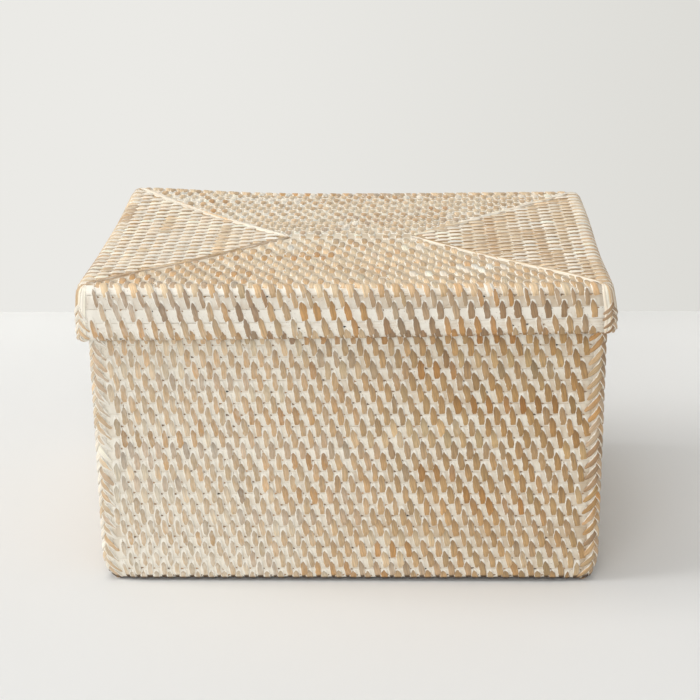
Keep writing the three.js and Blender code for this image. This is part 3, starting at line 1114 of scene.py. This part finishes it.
def lay_top(weave, place, side, edges):
    """Stitches of one section of the lid's top: raised ribs, and lower strips between them."""
    name = SIDES[side]
    short = side % 2
    length = side_sizes(LID_HALF, side)[0]
    course = edges[1]
    early, late = RIB_EARLY[short] * course, RIB_LATE[short] * course
    ribs = [(edges[row + 1] - early, edges[row + 2] + late) for row in range(TOP_COURSES - 1)]
    if side == 0:
        ribs.insert(0, (-course / 2, course / 2))
    sunk = [(edges[row], edges[row + 1]) for row in range(TOP_COURSES)]
    shape = GRAIN if short else RIB - np.array([0, 0, 0, RIB_DROP])
    # Ribs of the short sides get painted shade on their flanks
    own = {"flank_shade": SHADED_FLANKS, "top": UNPAINTED} if short else {"run": LID_RUN}
    kinds = (
        (ribs, RIB_MIXES[name], shape, RIB_SECTION, {"half_width": RIB_HALF_WIDTHS[short], **own}),
        (sunk, SUNK_MIXES[name], SUNK, STRIP_SECTION, {"half_width": SUNK_HALF_WIDTHS[short]}),
    )
    for rows, mix, stations, section, looks in kinds:
        looks["pitch"] = LID_PITCHES[short]
        limits = [max(length - LID_HALF[1] + (begin + end) / 2 - TOP_CLEAR, 1) for begin, end in rows]
        lay_rows(weave, place, rows, limits, mix, PLAIN_SLANT, stations, section, **looks)


# How far the rows of the skirt begin and end from the edges of their two courses, from the top down
SKIRT_OVERLAPS = ((-0.5, 1.4), (-1.5, 0.0), (1.3, 0.0), (2.3, 1.2))
# How far below its course's upper edge the stitch round the rim begins, and how far round the rim it goes
RIM_WRAP_START = 3.0
RIM_WRAP_END = RIM_RADIUS * 2.2
# How the paint at its upper end is shifted
RIM_WRAP_TOP = 0.05
# How the lean of the lid's stitches changes along its edge and its skirt
EDGE_TURN = -0.06
SKIRT_TURN = -0.08


def lay_skirt(pieces, place, side, edges):
    """Stitches of one side of the lid's skirt, from the edge down to the rim."""
    limit = side_sizes(LID_HALF, side)[0] - CORNER - SKIRT_END_GAP
    foot = edges[-1]
    pitch = LID_PITCHES[side % 2]
    over = {"pitch": pitch, "half_width": EDGE_HALF_WIDTH, "top": UNPAINTED, "turn": EDGE_TURN}
    looks = {"pitch": pitch, "half_width": SKIRT_HALF_WIDTH, "turn": SKIRT_TURN, "run": LID_RUN}
    looks["tuck_at"] = TUCK_AT
    if side == 0:
        looks.update(fade=skirt_fade, bare=skirt_bareness)
    narrow = {**looks, "half_width": UNDER_EDGE_HALF_WIDTH}
    courses = zip(edges[-6:], edges[-4:], SKIRT_OVERLAPS)
    last, second, *lower = [(begin + early, end + late) for begin, end, (early, late) in courses]
    wrap = (edges[-2] + RIM_WRAP_START, foot + RIM_WRAP_END)
    kinds = (
        ("lid_edge_rail", [last], EDGE_MIX, EDGE_SLANT, EDGE, over),
        ("lid_edge_rail", [second], UNDER_EDGE_MIX, UNDER_EDGE_SLANT, STITCH, narrow),
        ("lid_skirt", lower, SKIRT_MIX, SKIRT_SLANT, STITCH, looks),
        ("lid_rim_rail", [wrap], SKIRT_MIX, SKIRT_SLANT, STITCH, {**looks, "top": RIM_WRAP_TOP}),
    )
    first = TOP_COURSES + (side == 0) - 1
    for kind, rows, mix, slant, stations, own in kinds:
        lay_rows(pieces[kind], place, rows, [limit] * len(rows), mix, slant, stations, first=first, **own)
        first += len(rows)
    inside = foot + RIM_RADIUS * (math.pi - 1)
    inner = [(inside + row * SKIRT_COURSE, inside + (row + 2) * SKIRT_COURSE) for row in range(2)]
    lay_rows(pieces["lid_skirt"], place, inner, [limit] * 2, SKIRT_MIX, PLAIN_SLANT, PLAIN, PLAIN_SECTION)


def lid_edges():
    """Distances along the lid's profile at which its courses begin and end, from the ridge to the rim."""
    edge = skirt_outside(HEIGHT)
    edges = [number * edge / TOP_COURSES for number in range(TOP_COURSES + 1)]
    for course in (EDGE_COURSE, SKIRT_COURSE, SKIRT_COURSE, RIM_COURSE):
        edges.append(edges[-1] + course)
    return edges


def top_rods(side, course):
    """The rods of one section of the lid's top."""
    short = side % 2
    top = HEIGHT - PEEL - LID_ROD_DEPTHS[short]
    foot = LID_UNDERSIDE + PEEL
    level, half_rod = (top + foot) / 2, (top - foot) / 2
    rims = [LID_HALF[1] - number * course for number in range(TOP_COURSES)] + [LAST_ROD_RIM]
    centres = [((before + after) / 2, level) for before, after in zip(rims, rims[1:])]
    halves = [((before - after) / 2, half_rod) for before, after in zip(rims, rims[1:])]
    tints = rod_tints(TOP_COURSES, LID_WEAR[short])
    tints[:, :3] *= LID_PAINTS_AND_SHADE[short]
    return rods(LID_HALF, side, centres, halves, True, LID_MITRE_GAP), tints


def build_lid_side(side):
    """One mitred section of the lid's top, and the edge rail, skirt and rim rail below it."""
    length = side_sizes(LID_HALF, side)[0]
    place = on_side(LID_HALF, side, LID_PROFILE)
    below = on_side(LID_HALF, side, UNDER_LID)
    edges = lid_edges()
    pieces = {kind: Weave("lid") for kind in ("lid_top", "lid_edge_rail", "lid_skirt", "lid_rim_rail")}
    lay_top(pieces["lid_top"], place, side, edges)
    lay_skirt(pieces, place, side, edges)
    under_course = (LID_HALF[1] - WALL) / TOP_COURSES
    under = [(row * under_course, (row + 2) * under_course) for row in range(TOP_COURSES - 1)]
    insets = [WALL + (row + 1) * under_course for row in range(TOP_COURSES - 1)]
    limits = [max(length - inset - MITRE_CLEAR, 1) for inset in insets]
    lay_rows(pieces["lid_top"], below, under, limits, WALL_MIX, PLAIN_SLANT, PLAIN, PLAIN_SECTION)
    (points, strand), tints = top_rods(side, edges[1])
    pieces["lid_top"].add(points, strand, tints, ROD)
    end_gap = LID_CORNER_RADIUS + ROD_END_GAP
    pieces["lid_edge_rail"].add(*edge_rod(place, length - end_gap), rod_tints(1), ROD)
    half_thick = WALL / 2 - PEEL
    rim_top = SKIRT_FOOT + RIM_COURSE
    skirt = [(rim_top + (number + 0.5) * SKIRT_COURSE, SKIRT_COURSE / 2) for number in (1, 0)]
    rim = [(SKIRT_FOOT + (RIM_COURSE + PEEL) / 2, (RIM_COURSE - PEEL) / 2)]
    for kind, group, section in (("lid_skirt", skirt, ROD_SECTION), ("lid_rim_rail", rim, RIM_SECTION)):
        centres = [(WALL / 2, level) for level, _ in group]
        halves = [(half_thick, half_wide) for _, half_wide in group]
        straight = rods(LID_HALF, side, centres, halves, False, end_gap, section)
        pieces[kind].add(*straight, rod_tints(len(group)), ROD)
    for kind, piece in pieces.items():
        piece.finish(f"{kind}_{SIDES[side]}", "peel" if kind == "lid_top" else "painted_rod")


# Stations of a strip round a corner, which tucks under its neighbour at the top and ends in a point
CHEVRON = even(
    (0.0, 0.8, -0.9),
    (0.12, 1.0, -0.15),
    (0.28, 1.05, 0.2),
    (0.5, 1.0, 0.25),
    (0.7, 0.85, 0.12),
    (0.88, 0.5, -0.3),
    (1.0, 0.15, -1.4),
)
# How far the edge at which a corner's strips meet lies from the middle of its bend
RIDGE_SHIFTS = {"front_right": -1.1, "front_left": 1.1}
# Mixes for the strips before and after a corner's edge, and how bare of paint they are; the dark mix at the
# front right is partly tone and partly painted shade on the shaded right edges of the box and lid
CORNER_LOOKS = {
    "front_right": (DARK_CORNER_MIX, DARK_CORNER_MIX, 1.0),
    "front_left": (CREAM_MIX, CORNER_MIX, 0.6),
}
PLAIN_LOOKS = (CORNER_MIX, CORNER_MIX, 0.9)
# How far the paint of such a strip is shifted, how bowed it is, and how many in a row share a colour
CHEVRON_TOP = 0.3
CHEVRON_BOW = 0.3
CHEVRON_RUN = 2.0
# How far it begins beyond the corner's edge, and how much its two ends are off their places
CHEVRON_CROSS = 0.9
CHEVRON_SPREADS = (0.25, 0.4)
# Its reach, drop and half width on the box and on the lid
BOX_CHEVRON = (9.8, 1.7 * WALL_COURSE, 1.7)
LID_CHEVRON = (8.0, 7.5, 1.1)


def chevrons(weave, place, middle, tops, sizes, corner_looks):
    """Two strips for each course, which meet on the corner's edge."""
    reach, drop, half_width = sizes
    before, after, bare = corner_looks
    count = len(tops)
    pitch = tops[1] - tops[0]
    for way, delay, mix in ((-1, 0.0, before), (1, 0.5, after)):
        begin = np.stack([np.full(count, middle - CHEVRON_CROSS * way), tops + delay * pitch], 1)
        end = begin + np.stack([np.full(count, way * reach), np.full(count, drop)], 1)
        begin += random.normal(0, CHEVRON_SPREADS[0], begin.shape)
        end += random.normal(0, CHEVRON_SPREADS[1], end.shape)
        strip = strips(place, begin, end, half_width, CHEVRON, STRIP_SECTION, CHEVRON_BOW, CHEVRON_TOP)
        weave.add(*strip, peel_tints(count, mix, bare, run=CHEVRON_RUN), STRIP)


# How thick bent rods are outside the poles and on the lid, how long their legs are, and how far they lie
# below the peel
POST_CLEAR = 0.9
ELBOW_DEPTH = WALL - 2 * PEEL
ELBOW_LEG = 2.0
ELBOW_SINK = 0.02


def elbows(place, radius, middles, half_course, depth):
    """Rods bent round a corner, from the straight legs on either side."""
    bend = np.linspace(0, radius * RIGHT_ANGLE, 6)
    along = np.concatenate([[-ELBOW_LEG], bend, [bend[-1] + ELBOW_LEG]])
    out, wide = ROD_SECTION.T
    middles = np.array(middles)
    stations = (len(middles), len(along), len(out))
    distance = np.broadcast_to(middles[:, None, None] + half_course * wide, stations)
    raised = np.broadcast_to(-PEEL - ELBOW_SINK + depth / 2 * (out - 1), stations)
    points = place(np.broadcast_to(along[None, :, None], stations), distance, raised)
    seeds = random.random(len(middles))
    return points, joined(np.abs(wide)[None, None, :], along[None, :, None] / COURSE, seeds[:, None, None])


def build_corner(side):
    """A corner of the box: thin bent rods outside the pole, herringbone over them, and wraps inside."""
    name = CORNERS[side]
    place = on_corner(BODY_HALF, side, WALL_PROFILE, CORNER_RADIUS)
    weave = Weave("box")
    middles = [wall_outside(BODY_TOP - (course + 0.5) * WALL_COURSE) for course in range(WALL_COURSES)]
    bent = elbows(place, CORNER_RADIUS, middles, WALL_COURSE / 2, POST_CLEAR)
    weave.add(*bent, rod_tints(len(middles)), ROD)
    middle = CORNER_RADIUS * RIGHT_ANGLE / 2 + RIDGE_SHIFTS.get(name, 0.0)
    tops = wall_outside(BODY_TOP) + RIM_RADIUS / 2 + np.arange(WALL_COURSES - 1) * WALL_COURSE
    chevrons(weave, place, middle, tops, BOX_CHEVRON, CORNER_LOOKS.get(name, PLAIN_LOOKS))
    inside_wraps(weave, side)
    weave.finish(f"corner_braid_{name}", "peel")


# Wraps inside a corner column: the radius they bend to, the angle they go beyond a right one at each end,
# how far they begin above the floor, and the height that is left free
WRAP_RADIUS = 2.2
WRAP_OVER = 0.25
WRAP_FOOT = 1.5
WRAP_FREE = 2
# Their lean and half height, as shares of their pitch, and their section
WRAP_LEAN = 0.5
WRAP_HALF = 0.46
WRAP_SECTION = np.array([(-1, 0.0), (1, 0.0), (0.75, 0.55), (-0.75, 0.55)])


def inside_wraps(weave, side):
    """Peel wound round the inner sides of a corner column."""
    length, reach = side_sizes(BODY_HALF, side)
    turns = 2 * WALL_COURSES
    pitch = (BODY_TOP - FLOOR_TOP - WRAP_FREE) / turns
    angle = np.linspace(-WRAP_OVER, RIGHT_ANGLE + WRAP_OVER, 8)
    across, out = WRAP_SECTION.T
    low = np.arange(turns) * pitch + FLOOR_TOP + WRAP_FOOT
    radius = WRAP_RADIUS + out
    lean = np.linspace(-0.5, 0.5, len(angle)) * pitch * WRAP_LEAN
    height = low[:, None, None] + lean[None, :, None] + across * pitch * WRAP_HALF
    x = length - CORNER + WRAP_RADIUS - radius * np.cos(angle)[:, None]
    y = CORNER - WRAP_RADIUS - reach + radius * np.sin(angle)[:, None]
    points = turned(joined(x[None], y[None], height), side)
    seeds = random.random(turns)
    share = np.linspace(0, 1, len(angle)) + UNPAINTED
    strand = joined(across, share[:, None], seeds[:, None, None])
    weave.add(points, strand, peel_tints(turns, WALL_MIX), STRIP)


# Strands down a lid corner: how many, how far to either side they lie, how much they are off their places
# at the top and at the foot, and their half width
CORNER_STRANDS = 6
CORNER_SPREAD = 4.4
CORNER_SPREADS = (0.2, 0.6)
CORNER_HALF_WIDTH = 0.95
# How far above the edge rod they begin
CORNER_RISE = 2
# Herringbone over them: how many courses, their pitch, and how far above the foot they begin
LID_CHEVRONS = 4
LID_CHEVRON_PITCH = 4.6
LID_CHEVRON_RISE = 19.0


def build_lid_corner(side):
    """A corner of the lid's skirt: bent rods, strands down its edge and herringbone strips over them."""
    name = CORNERS[side]
    place = on_corner(LID_HALF, side, LID_PROFILE, LID_CORNER_RADIUS)
    weave = Weave("lid")
    foot = skirt_outside(SKIRT_FOOT)
    begin, end = edge_rod_span()
    edges = lid_edges()
    for above, below in [(begin, end), *zip(edges[-4:], edges[-3:])]:
        bent = elbows(place, LID_CORNER_RADIUS, [(above + below) / 2], (below - above) / 2, ELBOW_DEPTH)
        weave.add(*bent, rod_tints(1), ROD)
    middle = LID_CORNER_RADIUS * RIGHT_ANGLE / 2 + RIDGE_SHIFTS.get(name, 0.0)
    count = CORNER_STRANDS
    offsets = middle + np.linspace(-CORNER_SPREAD, CORNER_SPREAD, count)
    offsets = offsets + random.normal(0, CORNER_SPREADS[0], count)
    starts = np.stack([offsets, np.full(count, begin - CORNER_RISE)], 1)
    feet = offsets + random.normal(0, CORNER_SPREADS[1], count)
    ends = np.stack([feet, np.full(count, foot + RIM_RADIUS)], 1)
    strands = strips(place, starts, ends, CORNER_HALF_WIDTH, BED, STRIP_SECTION, top=UNPAINTED)
    weave.add(*strands, peel_tints(count, LID_CORNER_MIX, run=1.0), STRIP)
    tops = foot - LID_CHEVRON_RISE + np.arange(LID_CHEVRONS) * LID_CHEVRON_PITCH
    chevrons(weave, place, middle, tops, LID_CHEVRON, CORNER_LOOKS.get(name, PLAIN_LOOKS))
    weave.finish(f"lid_corner_braid_{name}", "peel")


# For the strands along each mitre: their step, length, lean and half width
MITRES = {
    "front_right": (16.0, 44.0, 0.5, 1.0),
    "back_right": (10.5, 15.0, 2.0, 1.35),
    "back_left": (18.0, 64.0, 0.3, 1.3),
    "front_left": (13.0, 38.0, 0.6, 0.9),
}
MITRE_MIXES = {"front_left": CORNER_MIX, "front_right": CORNER_MIX}
# Where the flat strand under them is dark
DARK_MITRES = ("front_left", "back_right")
# How far from the corner the strands begin, how uneven their steps are, and where the flat strand begins
# and its half width
MITRE_START = 8
MITRE_SPREAD = 0.6
BED_START = 7.5
BED_HALF_WIDTH = 2.4


def build_mitre(side):
    """The strands along one diagonal of the lid's top, on a flat strand that covers the joint."""
    name = CORNERS[side]
    length, reach = side_sizes(LID_HALF, side)
    diagonal = LID_HALF[1] * math.sqrt(2)

    def place(across, along, out):
        forward = along / math.sqrt(2)
        sideways = across / math.sqrt(2)
        x = length - forward + sideways
        y = forward + sideways - reach
        return turned(np.stack([x, y, HEIGHT + out], -1), side)

    weave = Weave("lid")
    step, long, leaning, half_width = MITRES[name]
    along = np.arange(MITRE_START, diagonal - step, step)
    count = len(along)
    along = along + random.normal(0, MITRE_SPREAD, count)
    lean = random.normal(leaning, leaning / 3, count)
    starts = np.stack([-lean, along], 1)
    ends = np.stack([lean, np.minimum(along + long, diagonal)], 1)
    width = random.normal(half_width, half_width / 10, count)
    strands = strips(place, starts, ends, width, STRAND, STRIP_SECTION, top=UNPAINTED)
    weave.add(*strands, peel_tints(count, MITRE_MIXES.get(name, CREAM_MIX)), STRIP)
    begin, end = np.array([(0, BED_START)]), np.array([(0, diagonal)])
    bed = strips(place, begin, end, BED_HALF_WIDTH, BED, STRIP_SECTION, top=UNPAINTED)
    weave.add(*bed, peel_tints(1, DARK_CORNER_MIX if name in DARK_MITRES else CREAM_MIX), STRIP)
    weave.finish(f"lid_mitre_{name}", "peel", "strand")


def build_post(side):
    """The pole inside a corner of the box."""
    name = CORNERS[side]
    low, high = node_box(f"corner_post_{name}")
    middle = (low + high) / 2
    radius = (high[0] - low[0]) / 2
    around = np.linspace(0, 2 * math.pi, 16, endpoint=False)
    heights = np.linspace(low[2], high[2], 20)
    x = middle[0] + radius * np.cos(around)
    y = middle[1] + radius * np.sin(around)
    points = joined(x[None], y[None], heights[:, None])[None]
    weave = Weave("box")
    weave.add(points, np.zeros(points.shape), np.ones((1, 4)), POLE)
    weave.finish(f"corner_post_{name}", "pole", "pole")


for side in range(len(SIDES)):
    build_wall(side)
    build_floor(side)
    build_corner(side)
    build_lid_side(side)
    build_lid_corner(side)
    build_mitre(side)
    build_post(side)


# The studio: places in metres, and where the background is painted darker towards the right, as shade
BACKDROP_Y = 0.412
BACKDROP_LEFT, BACKDROP_RIGHT = -0.6, 2.4
BACKDROP_TOP = 0.45
FLOOR_FRONT = -2.6
FLOOR_TONES = (linear(232, 232, 230), linear(234, 234, 232))
BACKDROP_TONES = (linear(245, 244, 241), linear(247, 246, 243))
WORLD_TONES = (linear(235, 234, 230), linear(220, 219, 214))
WORLD_CHANGE = (-0.18, 0.26)
WORLD_LIGHT = (0.38, 0.38, 0.38)
# Soft lamps at the left, above and in front: place, size and watts
LAMPS = {
    "key": ((-6.0, -0.64, 4.0), 3.3, 237),
    "overhead": ((-0.3, -0.3, 2.6), 1.6, 14),
    "front": ((-0.5, -2.4, 1.2), 1.8, 23),
}
LAMP_TARGET = (0, 0, 0.1)


def plaster(name, first, second):
    """A matt surface that goes in soft clouds from one colour to another."""
    shader = Shader(name)
    cloud = shader.noise(shader.position(), 1.5, 1.0)
    return shader.finish(shader.mix(shader.ramp(cloud, 0.3, 0.7), first, second), 0.9)


def add_sheet(name, near, far, material):
    """A flat part of the studio between two edges, each (y, z)."""
    vertices = [(x, y, z) for y, z in (near, far) for x in (BACKDROP_LEFT, BACKDROP_RIGHT)]
    mesh = bpy.data.meshes.new(name)
    mesh.from_pydata(vertices, [], [(0, 1, 3, 2)])
    mesh.materials.append(material)
    sheet = bpy.data.objects.new(name, mesh)
    bpy.context.collection.objects.link(sheet)
    return sheet


def build_backdrop():
    """A pale floor, and behind it a wall that throws light back but leaves the view from behind free."""
    add_sheet("floor", (FLOOR_FRONT, 0.0), (BACKDROP_Y, 0.0), plaster("floor", *FLOOR_TONES))
    pale = plaster("back_wall", *BACKDROP_TONES)
    wall = add_sheet("back_wall", (BACKDROP_Y, 0.0), (BACKDROP_Y, BACKDROP_TOP), pale)
    wall.visible_camera = False


def add_lamp(name, place, size, watts):
    """A square soft lamp aimed at the box."""
    lamp = bpy.data.lights.new(name, "AREA")
    lamp.size = size
    lamp.energy = watts
    holder = bpy.data.objects.new(name, lamp)
    holder.location = place
    holder.rotation_euler = (Vector(LAMP_TARGET) - Vector(place)).to_track_quat("-Z", "Y").to_euler()
    bpy.context.collection.objects.link(holder)


def build_world():
    """Even light from all round, and a pale background that is painted a little darker on the right, as
    shade.
    """
    world = bpy.data.worlds.new("studio")
    world.use_nodes = True
    nodes = Nodes(world.node_tree)
    across = nodes.split(nodes.position("Generated"))[0]
    background = nodes.mix(nodes.ramp(across, *WORLD_CHANGE), *WORLD_TONES)
    path = nodes.tree.nodes.new("ShaderNodeLightPath").outputs
    mirrored = nodes.math("MAXIMUM", path["Is Glossy Ray"], path["Is Transmission Ray"])
    seen = nodes.math("MAXIMUM", path["Is Camera Ray"], mirrored)
    sky = nodes.tree.nodes["Background"]
    nodes.set(sky.inputs["Color"], nodes.mix(seen, WORLD_LIGHT, background))
    bpy.context.scene.world = world


# The camera, as distances in millimetres and angles in degrees
FOCAL_PIXELS = 1700.0
IMAGE_WIDTH = 700
SENSOR_WIDTH = 36.0
CAMERA_DISTANCE = 1071.0
CAMERA_PITCH = 19.1
CAMERA_YAW = 1.86
CAMERA_ROLL = -0.65
AIM = (-1.5, 0.0, 106.9)


def build_camera():
    """Looks down at the box from in front, a little from its right."""
    pitch = math.radians(CAMERA_PITCH)
    roll = math.radians(CAMERA_ROLL)
    forward = Vector((0, math.cos(pitch), -math.sin(pitch)))
    up = Vector((0, math.sin(pitch), math.cos(pitch)))
    right = Vector((1, 0, 0))
    rolled_right = math.cos(roll) * right + math.sin(roll) * up
    rolled_up = math.cos(roll) * up - math.sin(roll) * right
    place = (Vector(AIM) - forward * CAMERA_DISTANCE) * MM
    axes = Matrix((rolled_right, rolled_up, -forward)).transposed().to_4x4()
    data = bpy.data.cameras.new("camera")
    data.sensor_width = SENSOR_WIDTH
    data.lens = FOCAL_PIXELS * SENSOR_WIDTH / IMAGE_WIDTH
    camera = bpy.data.objects.new("camera", data)
    camera.matrix_world = Matrix.Rotation(math.radians(CAMERA_YAW), 4, "Z") @ Matrix.Translation(place) @ axes
    bpy.context.collection.objects.link(camera)
    bpy.context.scene.camera = camera


build_backdrop()
for name, lamp in LAMPS.items():
    add_lamp(name, *lamp)
build_world()
build_camera()
bpy.context.scene.view_settings.view_transform = "Standard"
